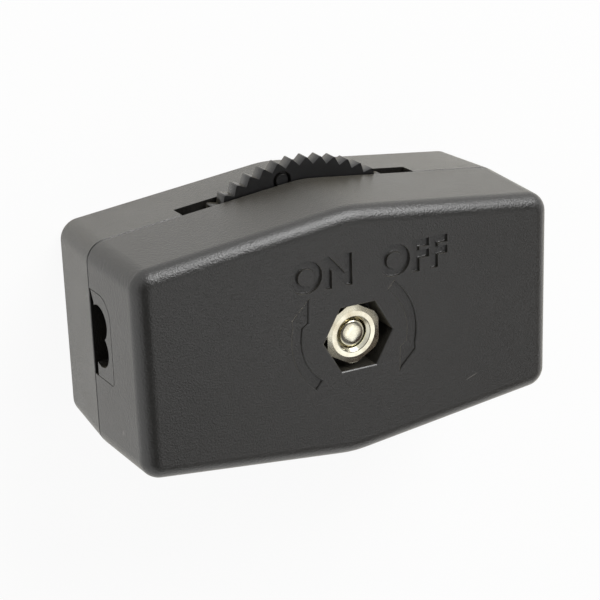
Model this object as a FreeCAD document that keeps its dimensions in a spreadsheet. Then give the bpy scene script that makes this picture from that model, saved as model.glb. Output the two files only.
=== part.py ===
"""Inline cord switch: a toothed thumbwheel between two moulded covers, clamped by one screw and a nut.

The switch lies on its rear cover. The origin is on the rear face, at the screw's axis.
+X runs along the cord, +Y across the switch, +Z out of the front face. Sizes are millimetres.
"""
import FreeCAD, Part
import math
import os

import Sketcher

doc = FreeCAD.newDocument("InlineCordSwitch")

# Driving sizes

SIZES = [
    # Covers: the outline at the seam, and what the mould's draft takes off each side at the faces
    ("body_length", 44.8),
    ("end_width", 20.4),
    ("rear_depth", 8.2),
    ("front_depth", 10.4),
    ("end_draft", 0.45),
    ("side_draft", 0.25),
    ("corner_radius", 2.0),
    ("middle_radius", 12.0),
    ("face_radius", 1.6),
    ("rear_edge_radius", 0.4),
    ("seam_edge_flat", 0.07),
    ("wall", 1.8),
    ("front_wall", 2.0),
    ("rear_floor", 1.8),
    ("rib", 1.4),
    # Screw
    ("screw_radius", 1.5),
    ("screw_clearance", 0.1),
    ("thread_clearance", 0.02),
    ("screw_short_of_nut", 0.1),
    ("screw_end_radius", 1.2),
    ("screw_end_height", 0.3),
    ("head_radius", 2.8),
    ("head_height", 2.0),
    ("head_below_face", 0.5),
    ("head_side_gap", 0.4),
    ("head_crown", 0.5),
    ("head_slot_width", 0.8),
    ("head_slot_depth", 0.9),
    # Nut, sunk in a boss of the front cover; its seat was moulded a little off the screw's axis
    ("nut_across_flats", 5.5),
    ("nut_thickness", 2.4),
    ("nut_face_spread", 0.2),
    ("nut_corner_angle", 30),
    ("nut_below_face", 0.4),
    ("nut_side_gap", 0.475),
    ("nut_seat_shift_x", 0.35),
    ("nut_seat_shift_y", -0.22),
    ("boss_radius", 5.0),
    # Thumbwheel, as large as the room between the prongs lets it be
    ("wheel_end_gap", 1.3),
    ("wheel_stand_out", 1.95),
    ("wheel_thickness", 1.6),
    ("wheel_teeth", 60),
    ("tooth_land", 0.145),
    ("tooth_half_angle", 45),
    ("wheel_gap", 0.08),
    ("slot_inset", 2.15),
    ("slot_gap", 0.32),
    ("pivot_radius", 3.0),
    ("pivot_clearance", 0.06),
    ("thrust_radius", 4.8),
    ("thrust_gap", 0.06),
    ("hub_width", 8.0),
    ("hub_length", 3.96),
    ("mark_inset", 1.75),
    ("mark_angle", 98.5),
    ("mark_radius", 0.95),
    ("mark_button_radius", 0.62),
    ("mark_depth", 0.45),
    # Moving bridge contact
    ("bridge_thickness", 0.4),
    ("bridge_rim", 1.2),
    ("bridge_hub_clearance", 0.03),
    ("bridge_drop", 1.02),
    ("arm_width", 5.0),
    ("arm_length", 6.2),
    ("arm_pad_length", 2.2),
    ("arm_slope_length", 1.4),
    # Fixed contacts
    ("contact_thickness", 0.5),
    ("contact_gap", 0.05),
    ("contact_end_gap", 0.4),
    ("blade_width", 3.6),
    ("blade_overreach", 0.6),
    ("base_width", 4.8),
    ("base_lead", 1.5),
    ("prong_width", 1.6),
    ("prong_point", 1.5),
    ("prong_pitch", 2.4),
    ("prong_inset", 1.5),
    ("prong_roof_gap", 0.45),
    ("seat_lead", 1.1),
    ("seat_margin", 0.6),
    ("stake_radius", 0.7),
    ("stake_clearance", 0.05),
    ("stake_height", 0.6),
    # Cord inlets and channels, for a flat two-core cord
    ("inlet_centre", 1.75),
    ("core_pitch", 2.7),
    ("lobe_radius", 1.75),
    ("lobe_height", 1.8),
    ("wing_length", 1.2),
    ("wing_height", 0.9),
    ("wing_end_height", 0.3),
    ("insert_height", 4.4),
    ("insert_near_corner", 0.5),
    ("insert_far_corner", 2.2),
    ("insert_line_width", 0.08),
    ("insert_line_depth", 0.05),
    ("stop_distance", 8.8),
    ("stop_near", 3.6),
    ("stop_far", 1.6),
    ("keeper_distance", 6.6),
    ("keeper_length", 2.5),
    # Locating pegs
    ("peg_end_gap", 1.6),
    ("peg_side_gap", 1.0),
    ("peg_boss_radius", 2.0),
    ("peg_radius", 1.0),
    ("peg_height", 1.8),
    ("peg_clearance", 0.1),
    # Sunk arrows on the front face, each bent round a point that lies a little towards its tip
    ("arrow_depth", 0.2),
    ("arrow_lead", 0.5),
    ("arrow_inner", 5.7),
    ("arrow_outer", 6.7),
    ("arrow_barb_inner", 5.2),
    ("arrow_barb_outer", 6.95),
    ("arrow_tip", 6.3),
    ("arrow_tail_angle", 50),
    ("arrow_neck_angle", -13),
    ("arrow_barb_angle", -19),
    ("arrow_tip_angle", -40),
    ("sunk_edge_flat", 0.09),
]

sheet = doc.addObject("Spreadsheet::Sheet", "Sizes")
for row, (alias, size) in enumerate(SIZES, start=1):
    sheet.set(f"A{row}", alias)
    sheet.set(f"B{row}", str(size))
    sheet.setAlias(f"B{row}", alias)
doc.recompute()

# Expressions that several pieces share

FRONT_ROOF = "(Sizes.front_depth - Sizes.front_wall)"
REAR_HOLLOW = "(Sizes.rear_depth - Sizes.rear_floor)"
NUT_SEAT = "(Sizes.front_depth - Sizes.nut_below_face - Sizes.nut_thickness)"
HEAD_SEAT = "(Sizes.head_below_face + Sizes.head_height)"
HEAD_RECESS_RADIUS = "(Sizes.head_radius + Sizes.head_side_gap)"

# Ribs, seats and pegs are rooted in the middle of the wall that they stand on
ROOF_ROOT = "(Sizes.front_depth - Sizes.front_wall / 2)"
FLOOR_ROOT = "(Sizes.rear_floor / 2)"

# Along the switch, from its end inwards: contact, prongs, then the wheel between the prongs
INNER_END = "(Sizes.body_length / 2 - Sizes.wall)"
CONTACT_END = f"({INNER_END} - Sizes.contact_end_gap)"
PRONG_OUTER = f"({CONTACT_END} - Sizes.prong_inset)"
PRONG_INNER = f"({PRONG_OUTER} - Sizes.prong_pitch)"
SEAT_START = f"({PRONG_INNER} - Sizes.seat_lead)"
WHEEL_RADIUS = f"({PRONG_INNER} - Sizes.contact_thickness / 2 - Sizes.wheel_end_gap)"
MIDDLE_WIDTH = f"(2 * ({WHEEL_RADIUS} - Sizes.wheel_stand_out))"
ARM_REACH = "(Sizes.hub_width / 2 + Sizes.arm_length)"

# Across the switch
CORE_LINE = "(Sizes.inlet_centre - Sizes.core_pitch / 2)"
WING_HALF = "(Sizes.core_pitch / 2 + Sizes.lobe_radius + Sizes.wing_length)"

# Up from the rear face: the wheel hangs under the seam, and its bridge over the contacts
WHEEL_FRONT = "(Sizes.rear_depth - Sizes.wheel_gap)"
WHEEL_BACK = f"({WHEEL_FRONT} - Sizes.wheel_thickness)"
CONTACT_TOP = f"({WHEEL_BACK} - Sizes.bridge_drop - Sizes.bridge_thickness - Sizes.contact_gap)"
CONTACT_HEIGHT = f"({CONTACT_TOP} - Sizes.contact_thickness)"


# Sketch helpers

def sketch_on(body, name, plane="XY_Plane", offset="0"):
    """A sketch on one of the body's own planes, moved along the plane's normal by an expression."""
    sketch = body.newObject("Sketcher::SketchObject", name)
    support = next(item for item in body.Origin.OriginFeatures if item.Role == plane)
    sketch.AttachmentSupport = (support, [""])
    sketch.MapMode = "FlatFace"
    sketch.setExpression("AttachmentOffset.Base.z", offset)
    return sketch


def bind(sketch, constraint, expression):
    index = sketch.addConstraint(constraint)
    sketch.setExpression(f"Constraints[{index}]", expression)


def pin_point(sketch, geometry, point, x, y):
    """Holds a point of the sketch at two expressions, measured from the origin."""
    for direction, place in (("DistanceX", x), ("DistanceY", y)):
        start = float(sketch.evalExpression(place))
        bind(sketch, Sketcher.Constraint(direction, -1, 1, geometry, point, start), place)


def draw_polygon(sketch, corners):
    """A closed outline whose corners are pairs of expressions."""
    first = sketch.GeometryCount
    count = len(corners)
    points = [place_of(sketch, corner) for corner in corners]
    for i in range(count):
        sketch.addGeometry(Part.LineSegment(points[i], points[(i + 1) % count]))
    for i, (x, y) in enumerate(corners):
        following = first + (i + 1) % count
        sketch.addConstraint(Sketcher.Constraint("Coincident", first + i, 2, following, 1))
        pin_point(sketch, first + i, 1, x, y)


def place_of(sketch, point):
    """Where a pair of expressions lies at the present sizes."""
    x, y = point
    return FreeCAD.Vector(float(sketch.evalExpression(x)), float(sketch.evalExpression(y)), 0)


def draw_lines(sketch, points):
    """An open run of lines, to be closed by arcs."""
    for start, end in zip(points, points[1:]):
        line = sketch.addGeometry(Part.LineSegment(place_of(sketch, start), place_of(sketch, end)))
        pin_point(sketch, line, 1, *start)
        pin_point(sketch, line, 2, *end)


def draw_arc(sketch, centre, radius, start, end):
    """An arc that runs counter-clockwise from start to end."""
    middle = place_of(sketch, centre)
    from_middle = [place_of(sketch, point) - middle for point in (start, end)]
    circle = Part.Circle(middle, FreeCAD.Vector(0, 0, 1), from_middle[0].Length)
    angles = [math.atan2(reach.y, reach.x) for reach in from_middle]
    arc = sketch.addGeometry(Part.ArcOfCircle(circle, *angles))
    pin_point(sketch, arc, 1, *start)
    pin_point(sketch, arc, 2, *end)
    bind(sketch, Sketcher.Constraint("Radius", arc, circle.Radius), radius)


def draw_rectangle(sketch, low_x, high_x, low_y, high_y):
    draw_polygon(sketch, [(low_x, low_y), (high_x, low_y), (high_x, high_y), (low_x, high_y)])


def draw_circle(sketch, x, y, radius):
    size = float(sketch.evalExpression(radius))
    index = sketch.addGeometry(Part.Circle(place_of(sketch, (x, y)), FreeCAD.Vector(0, 0, 1), size))
    pin_point(sketch, index, 3, x, y)
    bind(sketch, Sketcher.Constraint("Radius", index, size), radius)


def draw_hexagon(sketch, across_flats, x="0", y="0"):
    """A regular hexagon with two of its corners along X."""
    flat = f"({across_flats}) / 2"
    corner = f"({across_flats}) / sqrt(3)"
    draw_polygon(sketch, [
        (f"{x} + {corner}", y), (f"{x} + {corner} / 2", f"{y} + {flat}"),
        (f"{x} - {corner} / 2", f"{y} + {flat}"), (f"{x} - {corner}", y),
        (f"{x} - {corner} / 2", f"{y} - {flat}"), (f"{x} + {corner} / 2", f"{y} - {flat}"),
    ])


def draw_outer_outline(sketch):
    """The switch seen from the front: narrow ends, and a wide middle whose blunt corners are rounded.

    Where a small wheel leaves the middle narrower than the ends, the same arcs curve inwards."""
    end, side = "Sizes.body_length / 2", "Sizes.end_width / 2"
    turn = f"atan(({MIDDLE_WIDTH} - Sizes.end_width) / Sizes.body_length)"
    outwards = f"(Sizes.middle_radius * ({MIDDLE_WIDTH} < Sizes.end_width ? -1 : 1))"
    centre = f"({MIDDLE_WIDTH} / 2 - {outwards} / cos({turn}))"
    along = f"(Sizes.middle_radius * sin({turn}))"
    across = f"({centre} + {outwards} * cos({turn}))"
    for sign, other in (("", "-"), ("-", "")):
        start, finish = (f"{sign}{along}", f"{sign}{across}"), (f"{other}{along}", f"{sign}{across}")
        draw_arc(sketch, ("0", f"{sign}{centre}"), "Sizes.middle_radius", start, finish)
        draw_lines(sketch, [
            (f"{other}abs({along})", f"{sign}{across}"), (f"{other}{end}", f"{sign}{side}"),
            (f"{other}{end}", f"{other}{side}"), (f"{other}abs({along})", f"{other}{across}"),
        ])


def draw_hollow_outline(sketch, end_inset, side_inset):
    """The outline set inwards, with its long sides parallel to the outer ones and sharp corners."""
    slope = f"({MIDDLE_WIDTH} - Sizes.end_width) / Sizes.body_length"
    end = f"(Sizes.body_length / 2 - {end_inset})"
    side = f"(Sizes.end_width / 2 - {side_inset} + {end_inset} * {slope})"
    middle = f"({MIDDLE_WIDTH} / 2 - {side_inset})"
    draw_polygon(sketch, [
        (end, f"-{side}"), (end, side), ("0", middle),
        (f"-{end}", side), (f"-{end}", f"-{side}"), ("0", f"-{middle}"),
    ])


# Feature helpers

def extrude(kind, sketch, name, length, upwards=True, both_ways=False):
    """A Pad or Pocket of the sketch, along the sketch's normal or against it."""
    feature = sketch.getParentGeoFeatureGroup().newObject(f"PartDesign::{kind}", name)
    feature.Profile = sketch
    feature.setExpression("Length", length)
    if both_ways:
        feature.SideType = "Symmetric"
    else:
        feature.Reversed = (kind == "Pocket") == upwards
    return feature


def loft(kind, name, first, second):
    feature = first.getParentGeoFeatureGroup().newObject(f"PartDesign::{kind}", name)
    feature.Profile = first
    feature.Sections = [second]
    feature.Ruled = True
    return feature


def revolve(sketch, name):
    feature = sketch.getParentGeoFeatureGroup().newObject("PartDesign::Revolution", name)
    feature.Profile = sketch
    feature.ReferenceAxis = (sketch, ["V_Axis"])
    feature.Angle = 360
    return feature


def mirror(body, name, originals):
    """The same features on the other end of the switch."""
    feature = body.newObject("PartDesign::Mirrored", name)
    feature.Originals = originals
    plane = next(item for item in body.Origin.OriginFeatures if item.Role == "YZ_Plane")
    feature.MirrorPlane = (plane, [""])
    body.Tip = feature
    return feature


def turn_pattern(body, name, originals, occurrences):
    """Copies of the features all the way round the screw's axis."""
    feature = body.newObject("PartDesign::PolarPattern", name)
    feature.Originals = originals
    axis = next(item for item in body.Origin.OriginFeatures if item.Role == "Z_Axis")
    feature.Axis = (axis, [""])
    feature.Angle = 360
    feature.setExpression("Occurrences", occurrences)
    body.Tip = feature
    return feature


def ease(kind, base, name, wanted, size):
    """A Fillet or Chamfer of the base feature's edges that the test picks out."""
    doc.recompute()
    edges = [f"Edge{i}" for i, edge in enumerate(base.Shape.Edges, start=1) if wanted(edge)]
    feature = base.getParentGeoFeatureGroup().newObject(f"PartDesign::{kind}", name)
    feature.Base = (base, edges)
    feature.setExpression("Radius" if kind == "Fillet" else "Size", size)
    return feature


def draft(base, name, wanted, angle, downwards=False):
    """Leans the wanted faces inwards, away from the seam, so that the cover leaves its mould."""
    doc.recompute()
    faces = []
    for i, face in enumerate(base.Shape.Faces, start=1):
        first_u, last_u, first_v, last_v = face.ParameterRange
        if wanted(face.normalAt((first_u + last_u) / 2, (first_v + last_v) / 2)):
            faces.append(f"Face{i}")
    body = base.getParentGeoFeatureGroup()
    feature = body.newObject("PartDesign::Draft", name)
    feature.Base = (base, faces)
    plane = next(item for item in body.Origin.OriginFeatures if item.Role == "XY_Plane")
    feature.NeutralPlane = (plane, [""])
    feature.setExpression("Angle", angle)
    feature.Reversed = downwards
    return feature


def lies_at(height):
    """A test for edges that lie at one height, such as a face's rim."""
    return lambda edge: all(abs(vertex.Z - height) < 1e-4 for vertex in edge.Vertexes)


def lies_round_nut(edge):
    """A test for the edges of all that is sunk into the front face beside the screw's axis."""
    reach = float(sheet.arrow_barb_outer) + 2 * float(sheet.arrow_lead)
    on_face = lies_at(float(sheet.front_depth))(edge)
    return on_face and all(math.hypot(vertex.X, vertex.Y) < reach for vertex in edge.Vertexes)


def is_end_corner(edge):
    """A test for the four upright edges at the ends of a cover."""
    start, finish = edge.firstVertex(), edge.lastVertex()
    near_end = min(abs(start.X), abs(finish.X)) > float(sheet.body_length) / 4
    return near_end and abs(start.Z - finish.Z) > 1.0


def faces_ends(normal):
    return abs(normal.x) > abs(normal.y) + abs(normal.z)


def faces_sides(normal):
    return abs(normal.y) > abs(normal.x) + abs(normal.z)


def new_body(label, height="0"):
    body = doc.addObject("PartDesign::Body", label)
    body.Label = label
    body.setExpression("Placement.Base.z", height)
    return body


# Both covers start as a drafted block with rounded ends, hollowed from the seam

def make_shell(body, side, depth, hollow_depth, face_height, rim_radius):
    """The outer form of one cover; it grows up from the seam if side is front, else down."""
    upwards = side == "front"
    outline = sketch_on(body, f"{side}_outline")
    draw_outer_outline(outline)
    block = extrude("Pad", outline, f"{side}_block", depth, upwards)
    end_angle = f"atan(Sizes.end_draft / {depth})"
    side_angle = f"atan(Sizes.side_draft / {depth})"
    ends = draft(block, f"{side}_end_draft", faces_ends, end_angle, not upwards)
    sides = draft(ends, f"{side}_side_draft", faces_sides, side_angle, not upwards)
    corners = ease("Fillet", sides, f"{side}_end_corners", is_end_corner, "Sizes.corner_radius")
    rim = ease("Fillet", corners, f"{side}_face_rim", lies_at(face_height), rim_radius)
    ease("Chamfer", rim, f"{side}_seam_edge", lies_at(0), "Sizes.seam_edge_flat")

    cavity_seam = sketch_on(body, f"{side}_cavity_seam")
    draw_hollow_outline(cavity_seam, "Sizes.wall", "Sizes.wall")
    end_plane = hollow_depth if upwards else f"-{hollow_depth}"
    cavity_end = sketch_on(body, f"{side}_cavity_end", offset=end_plane)
    draw_hollow_outline(cavity_end, "(Sizes.wall + Sizes.end_draft)", "(Sizes.wall + Sizes.side_draft)")
    loft("SubtractiveLoft", f"{side}_cavity", cavity_seam, cavity_end)


# Front cover, measured from the seam

def add_peg_circle(body, name, radius, offset="0"):
    sketch = sketch_on(body, name, offset=offset)
    along = f"({INNER_END} - Sizes.peg_end_gap)"
    across = "(Sizes.wall + Sizes.peg_side_gap - Sizes.end_width / 2)"
    draw_circle(sketch, along, across, radius)
    return sketch


def make_front_cover():
    body = new_body("front_cover", "Sizes.rear_depth")

    face = float(sheet.front_depth)
    make_shell(body, "front", "Sizes.front_depth", FRONT_ROOF, face, "Sizes.face_radius")

    boss = sketch_on(body, "nut_boss_outline")
    draw_circle(boss, "0", "0", "Sizes.boss_radius")
    extrude("Pad", boss, "nut_boss", ROOF_ROOT)

    # Ribs that press the cord onto the prongs, a stop for the cut core, a keeper for the whole one
    inlet_low = f"(Sizes.inlet_centre - {WING_HALF})"
    inlet_high = f"(Sizes.inlet_centre + {WING_HALF})"
    saddle = (f"({inlet_low} - Sizes.rib)", f"({inlet_high} + Sizes.rib)")
    stop = (f"({CORE_LINE} - Sizes.stop_near)", f"({CORE_LINE} + Sizes.stop_far)")
    inner_side = f"({MIDDLE_WIDTH} / 2 - Sizes.wall)"
    keeper = (f"({inner_side} - Sizes.keeper_length)", inner_side)
    ribs = [
        ("inner_saddle", PRONG_INNER, saddle),
        ("outer_saddle", PRONG_OUTER, saddle),
        ("core_stop", "Sizes.stop_distance", stop),
        ("core_keeper", "Sizes.keeper_distance", keeper),
    ]
    right_hand = []
    for name, middle, (low, high) in ribs:
        sketch = sketch_on(body, f"{name}_outline")
        draw_rectangle(sketch, f"({middle} - Sizes.rib / 2)", f"({middle} + Sizes.rib / 2)", low, high)
        right_hand.append(extrude("Pad", sketch, name, ROOF_ROOT))
    socket_boss = add_peg_circle(body, "socket_boss_outline", "Sizes.peg_boss_radius")
    right_hand.append(extrude("Pad", socket_boss, "socket_boss", ROOF_ROOT))
    mirror(body, "ribs_at_other_end", right_hand)

    # The inlet is a figure of eight for the two cores, over a low slot that is wider than the cord
    slot = sketch_on(body, "inlet_slot_outline", "YZ_Plane", SEAT_START)
    draw_polygon(slot, [
        (inlet_low, "-Sizes.wing_height"), (inlet_high, "-Sizes.wing_height"),
        (inlet_high, "Sizes.wing_end_height"),
        (f"({inlet_high} - Sizes.wing_length)", "Sizes.wing_height"), (inlet_low, "Sizes.wing_height"),
    ])
    channel_length = "Sizes.body_length / 2"
    cuts = [extrude("Pocket", slot, "inlet_slot", channel_length)]
    for name, side in (("far_core", "+"), ("near_core", "-")):
        lobe = sketch_on(body, f"{name}_outline", "YZ_Plane", SEAT_START)
        core = f"(Sizes.inlet_centre {side} Sizes.core_pitch / 2)"
        draw_circle(lobe, core, "Sizes.lobe_height", "Sizes.lobe_radius")
        cuts.append(extrude("Pocket", lobe, f"{name}_channel", channel_length))
    cuts.append(add_insert_line(body))
    socket = add_peg_circle(body, "socket_outline", "(Sizes.peg_radius + Sizes.peg_clearance)")
    cuts.append(extrude("Pocket", socket, "peg_socket", "Sizes.peg_height + 2 * Sizes.peg_clearance"))
    mirror(body, "inlet_at_other_end", cuts)

    recess = sketch_on(body, "nut_recess_outline", offset="Sizes.front_depth")
    recess_across = "Sizes.nut_across_flats + 2 * Sizes.nut_side_gap"
    draw_hexagon(recess, recess_across, "Sizes.nut_seat_shift_x", "Sizes.nut_seat_shift_y")
    extrude("Pocket", recess, "nut_recess", f"Sizes.front_depth - {NUT_SEAT}", upwards=False)
    hole = sketch_on(body, "front_screw_hole_outline")
    draw_circle(hole, "0", "0", "(Sizes.screw_radius + Sizes.screw_clearance)")
    extrude("Pocket", hole, "front_screw_hole", "Sizes.front_depth")

    arrows = add_arrows(body)
    ease("Chamfer", arrows, "sunk_edges", lies_round_nut, "Sizes.sunk_edge_flat")
    return body


def add_insert_line(body):
    """The fine line that the mould's insert leaves round an inlet, cut square to the drafted end."""
    line = sketch_on(body, "insert_line_outline", "YZ_Plane", "Sizes.body_length / 2")
    line.setExpression("AttachmentOffset.Rotation.Axis.x", "1")
    line.setExpression("AttachmentOffset.Rotation.Axis.z", "0")
    line.setExpression("AttachmentOffset.Rotation.Angle", "-atan(Sizes.end_draft / Sizes.front_depth)")
    for inset in ("0", "Sizes.insert_line_width"):
        near = f"(Sizes.inlet_centre - {WING_HALF} + {inset})"
        far = f"(Sizes.inlet_centre + {WING_HALF} - {inset})"
        top = f"(Sizes.insert_height - {inset})"
        under_seam = f"({inset} - Sizes.insert_near_corner)"
        near_radius = f"(Sizes.insert_near_corner - {inset})"
        far_radius = f"(Sizes.insert_far_corner - {inset})"
        near_side = (near, f"({top} - {near_radius})")
        near_top = (f"({near} + {near_radius})", top)
        far_side = (far, f"({top} - {far_radius})")
        far_top = (f"({far} - {far_radius})", top)
        draw_arc(line, (near_top[0], near_side[1]), near_radius, near_top, near_side)
        draw_lines(line, [near_side, (near, under_seam), (far, under_seam), far_side])
        draw_arc(line, (far_top[0], far_side[1]), far_radius, far_side, far_top)
        draw_lines(line, [far_top, near_top])
    return extrude("Pocket", line, "insert_line", "2 * Sizes.insert_line_depth", both_ways=True)


def polar(radius, angle):
    return (f"{radius} * cos({angle} * 1 deg)", f"{radius} * sin({angle} * 1 deg)")


def add_arrows(body):
    """Two sunk arrows beside the nut show which way the wheel turns."""
    outline = sketch_on(body, "arrow_outline", offset="Sizes.front_depth")

    def round_bend(radius, angle):
        """A point at a radius and an angle round the middle of the arrow's bend."""
        x, y = polar(f"Sizes.{radius}", f"Sizes.{angle}")
        return x, f"{y} - Sizes.arrow_lead"

    bend = ("0", "-Sizes.arrow_lead")
    outer_tail = round_bend("arrow_outer", "arrow_tail_angle")
    inner_tail = round_bend("arrow_inner", "arrow_tail_angle")
    outer_neck = round_bend("arrow_outer", "arrow_neck_angle")
    inner_neck = round_bend("arrow_inner", "arrow_neck_angle")
    outer_barb = round_bend("arrow_barb_outer", "arrow_barb_angle")
    inner_barb = round_bend("arrow_barb_inner", "arrow_barb_angle")
    tip = round_bend("arrow_tip", "arrow_tip_angle")
    draw_arc(outline, bend, "Sizes.arrow_outer", outer_neck, outer_tail)
    draw_lines(outline, [outer_tail, inner_tail])
    draw_arc(outline, bend, "Sizes.arrow_inner", inner_neck, inner_tail)
    draw_lines(outline, [inner_neck, inner_barb, tip, outer_barb, outer_neck])
    sunk = extrude("Pocket", outline, "arrow", "Sizes.arrow_depth", upwards=False)
    return turn_pattern(body, "arrows", [sunk], "2")


# Rear cover, measured from the seam, so that its features lie below zero

def make_rear_cover():
    body = new_body("rear_cover", "Sizes.rear_depth")
    face = -float(sheet.rear_depth)
    make_shell(body, "rear", "Sizes.rear_depth", REAR_HOLLOW, face, "Sizes.rear_edge_radius")
    inside_floor = f"({FLOOR_ROOT} - Sizes.rear_depth)"

    def stand(outline, name, height):
        """A pad that starts inside the floor and rises to a height above the rear face."""
        return extrude("Pad", outline, name, f"{height} - {FLOOR_ROOT}")

    # The post carries the wheel, and its shoulder takes the wheel's thrust
    shoulder = sketch_on(body, "thrust_shoulder_outline", offset=inside_floor)
    draw_circle(shoulder, "0", "0", "Sizes.thrust_radius")
    stand(shoulder, "thrust_shoulder", f"{WHEEL_FRONT} - Sizes.hub_length - Sizes.thrust_gap")
    post = sketch_on(body, "wheel_post_outline", offset=inside_floor)
    draw_circle(post, "0", "0", "Sizes.pivot_radius")
    stand(post, "wheel_post", "Sizes.rear_depth")

    # Seats for the fixed contacts, and pegs that line the covers up
    seat = sketch_on(body, "contact_seat_outline", offset=inside_floor)
    seat_half = "(Sizes.base_width / 2 + Sizes.seat_margin)"
    draw_rectangle(
        seat,
        SEAT_START,
        f"({INNER_END} + Sizes.wall / 2)",
        f"({CORE_LINE} - {seat_half})",
        f"({CORE_LINE} + {seat_half})",
    )
    stake = sketch_on(body, "contact_stake_outline", offset=inside_floor)
    draw_circle(stake, f"({PRONG_INNER} + Sizes.prong_pitch / 2)", CORE_LINE, "Sizes.stake_radius")
    peg_boss = add_peg_circle(body, "peg_boss_outline", "Sizes.peg_boss_radius", inside_floor)
    peg = add_peg_circle(body, "peg_outline", "Sizes.peg_radius", inside_floor)
    right_hand = [
        stand(seat, "contact_seat", CONTACT_HEIGHT),
        stand(stake, "contact_stake", f"{CONTACT_TOP} + Sizes.stake_height"),
        stand(peg_boss, "peg_boss", "Sizes.rear_depth"),
        stand(peg, "peg", "Sizes.rear_depth + Sizes.peg_height"),
    ]
    mirror(body, "seat_and_peg_at_other_end", right_hand)

    # The wheel's rim stands out through a slot in each long side
    for name, upwards in (("lower_wheel_slot", True), ("upper_wheel_slot", False)):
        start = "Sizes.end_width / 4"
        slot = sketch_on(body, f"{name}_outline", "XZ_Plane", start if upwards else f"-{start}")
        half = f"({WHEEL_RADIUS} - Sizes.slot_inset)"
        deep = "(Sizes.wheel_gap + Sizes.wheel_thickness + Sizes.slot_gap)"
        draw_rectangle(slot, f"-{half}", half, f"-{deep}", deep)
        extrude("Pocket", slot, name, MIDDLE_WIDTH, upwards)

    recess = sketch_on(body, "head_recess_outline", offset="-Sizes.rear_depth")
    draw_circle(recess, "0", "0", HEAD_RECESS_RADIUS)
    extrude("Pocket", recess, "head_recess", HEAD_SEAT)
    hole = sketch_on(body, "rear_screw_hole_outline", offset="-Sizes.rear_depth")
    draw_circle(hole, "0", "0", "(Sizes.screw_radius + Sizes.screw_clearance)")
    extrude("Pocket", hole, "rear_screw_hole", "Sizes.rear_depth")
    return body


# Thumbwheel, measured from its front face

def make_thumbwheel():
    body = new_body("thumbwheel", WHEEL_FRONT)

    rim = sketch_on(body, "wheel_outline")
    draw_circle(rim, "0", "0", WHEEL_RADIUS)
    extrude("Pad", rim, "wheel_disc", "Sizes.wheel_thickness", upwards=False)
    hub = sketch_on(body, "hub_outline")
    half = "Sizes.hub_width / 2"
    draw_rectangle(hub, f"-{half}", half, f"-{half}", half)
    extrude("Pad", hub, "hub", "Sizes.hub_length", upwards=False)
    bore = sketch_on(body, "wheel_bore_outline")
    draw_circle(bore, "0", "0", "(Sizes.pivot_radius + Sizes.pivot_clearance)")
    extrude("Pocket", bore, "wheel_bore", "Sizes.rear_depth", upwards=False)

    # Sunk rings with a button in the middle show at the slots when the switch is on
    mark = sketch_on(body, "mark_ring_outline")
    mark_x, mark_y = polar(f"({WHEEL_RADIUS} - Sizes.mark_inset)", "Sizes.mark_angle")
    draw_circle(mark, mark_x, mark_y, "Sizes.mark_radius")
    draw_circle(mark, mark_x, mark_y, "Sizes.mark_button_radius")
    ring = extrude("Pocket", mark, "mark_ring", "Sizes.mark_depth", upwards=False)
    turn_pattern(body, "marks", [ring], "2")

    # V grooves leave a narrow land between them, so each is drawn on past the rim at twice its depth
    groove_outline = sketch_on(body, "tooth_groove_outline")
    half_mouth = f"(pi * {WHEEL_RADIUS} / Sizes.wheel_teeth - Sizes.tooth_land / 2)"
    depth = f"({half_mouth} / tan(Sizes.tooth_half_angle * 1 deg))"
    root = f"({WHEEL_RADIUS} - {depth})"
    beyond = f"({WHEEL_RADIUS} + {depth})"
    wide = f"(2 * {half_mouth})"
    draw_polygon(groove_outline, [(root, "0"), (beyond, f"-{wide}"), (beyond, wide)])
    groove = extrude("Pocket", groove_outline, "tooth_groove", "2 * Sizes.wheel_thickness", upwards=False)
    turn_pattern(body, "teeth", [groove], "Sizes.wheel_teeth")
    return body


# Bridge contact: a sprung brass strip that turns with the wheel and joins the fixed contacts

def make_bridge_contact():
    body = new_body("bridge_contact", WHEEL_BACK)

    plate = sketch_on(body, "bridge_plate_outline")
    outer = "(Sizes.hub_width / 2 + Sizes.bridge_rim)"
    inner = "(Sizes.hub_width / 2 + Sizes.bridge_hub_clearance)"
    draw_rectangle(plate, f"-{outer}", outer, f"-{outer}", outer)
    draw_rectangle(plate, f"-{inner}", inner, f"-{inner}", inner)
    extrude("Pad", plate, "bridge_plate", "Sizes.bridge_thickness", upwards=False)

    # The arm runs along the wheel, slopes down and ends in a flat pad just over the fixed blade
    arm = sketch_on(body, "bridge_arm_section", "XZ_Plane")
    start = f"({inner} + Sizes.bridge_rim / 2)"
    slope_end = f"({ARM_REACH} - Sizes.arm_pad_length)"
    slope_start = f"({slope_end} - Sizes.arm_slope_length)"
    pad_bottom = f"({CONTACT_TOP} + Sizes.contact_gap - {WHEEL_BACK})"
    pad_top = f"({pad_bottom} + Sizes.bridge_thickness)"
    under = "-Sizes.bridge_thickness"
    draw_polygon(arm, [
        (start, "0"), (slope_start, "0"), (slope_end, pad_top), (ARM_REACH, pad_top),
        (ARM_REACH, pad_bottom), (f"({slope_end} - Sizes.bridge_thickness / 2)", pad_bottom),
        (f"({slope_start} - Sizes.bridge_thickness / 2)", under), (start, under),
    ])
    one_arm = extrude("Pad", arm, "bridge_arm", "Sizes.arm_width", both_ways=True)
    turn_pattern(body, "bridge_arms", [one_arm], "2")
    return body


# Fixed contacts: stamped brass, with a blade under the wheel and two prongs that pierce the cord

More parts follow.
